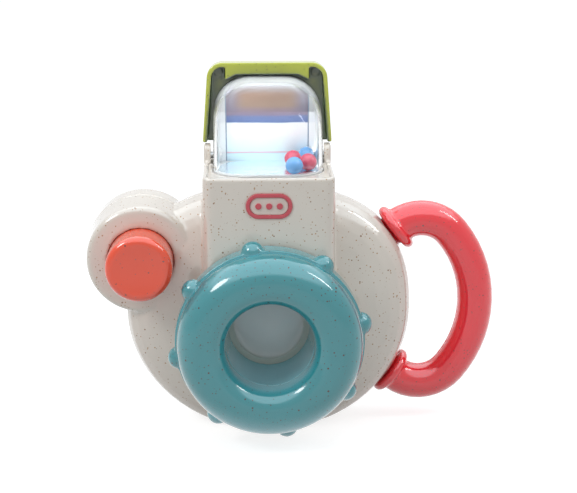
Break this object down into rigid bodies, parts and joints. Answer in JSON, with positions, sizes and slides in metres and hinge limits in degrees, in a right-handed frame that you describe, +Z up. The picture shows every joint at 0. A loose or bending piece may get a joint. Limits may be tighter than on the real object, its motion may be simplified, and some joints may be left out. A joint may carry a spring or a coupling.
{
  "type": "toy camera",
  "caption": "Rounded toy camera with a push button, a turning lens ring, a fold-down flash with loose beads and a loop handle.",
  "frame": {"origin": "on the flat base, under the lens axis, in the plane of the case seam", "axes": "+Z up, -Y towards the lens side, +X towards the handle"},
  "size_m": [0.185, 0.0735, 0.163],
  "materials": {
    "cream": "glossy moulded plastic with small tan and brown specks",
    "beige": "satin moulded plastic",
    "red": "glossy moulded plastic",
    "orange": "glossy moulded plastic with dark specks",
    "bellows": "soft blown vinyl",
    "white": "plain moulded plastic",
    "teal": "glossy moulded plastic with dark specks",
    "clear": "clear polished plastic",
    "steel": "plain zinc-plated steel",
    "lime": "glossy moulded plastic with dark specks",
    "mirror": "silvered plastic sheet",
    "bead_blue": "glossy plastic",
    "bead_red": "glossy plastic",
    "coral": "glossy moulded plastic with dark specks"
  },
  "bodies": {
    "case": {"front_shell": "cream", "rear_cover": "cream", "well_floor": "cream", "badge_plate": "beige", "badge_rim": "red", "badge_pips": "red", "squeaker_bellows": "bellows", "squeaker_reed": "white", "click_spring": "white", "click_screw": "steel", "viewfinder_tube": "white", "eyepiece_window": "clear", "handle_front": "coral", "handle_rear": "coral", "case_screws": "steel"},
    "lens": {"lens_ring_front": "teal", "lens_ring_rear": "teal", "prism_lens": "clear", "lens_retainer": "white", "retainer_screws": "steel"},
    "button": {"button_cap": "orange"},
    "flash": {"flash_lid": "lime", "flash_window": "clear", "flash_mirror": "mirror", "hinge_pins": "steel"},
    "bead_1": {"bead_blue_front": "bead_blue"},
    "bead_2": {"bead_red_front": "bead_red"},
    "bead_3": {"bead_red_rear": "bead_red"},
    "bead_4": {"bead_blue_rear": "bead_blue"}
  },
  "joints": [
    {"name": "lens_spin", "type": "hinge", "parent": "case", "child": "lens", "pos_m": [0, -0.03, 0.048], "axis": [0, -1, 0], "continuous": true, "deforming": ["click_spring"]},
    {"name": "button_press", "type": "slide", "parent": "case", "child": "button", "axis": [0, 1, 0], "range_m": [0, 0.0065], "stiffness_N_per_m": 300, "springref_m": -0.002, "deforming": ["squeaker_bellows"]},
    {"name": "flash_fold", "type": "hinge", "parent": "case", "child": "flash", "pos_m": [0, 0.0105, 0.121], "axis": [1, 0, 0], "range_deg": [0, 90]},
    {"name": "bead_1_roll", "type": "slide", "parent": "flash", "child": "bead_1", "axis": [1, 0, 0], "range_m": [-0.0241, 0.0017]},
    {"name": "bead_2_roll", "type": "slide", "parent": "flash", "child": "bead_2", "axis": [1, 0, 0], "range_m": [-0.0361, 0.0009]},
    {"name": "bead_3_roll", "type": "slide", "parent": "flash", "child": "bead_3", "axis": [1, 0, 0], "range_m": [-0.0299, 0.0075]},
    {"name": "bead_4_roll", "type": "slide", "parent": "flash", "child": "bead_4", "axis": [1, 0, 0], "range_m": [-0.0354, 0.0002]}
  ]
}
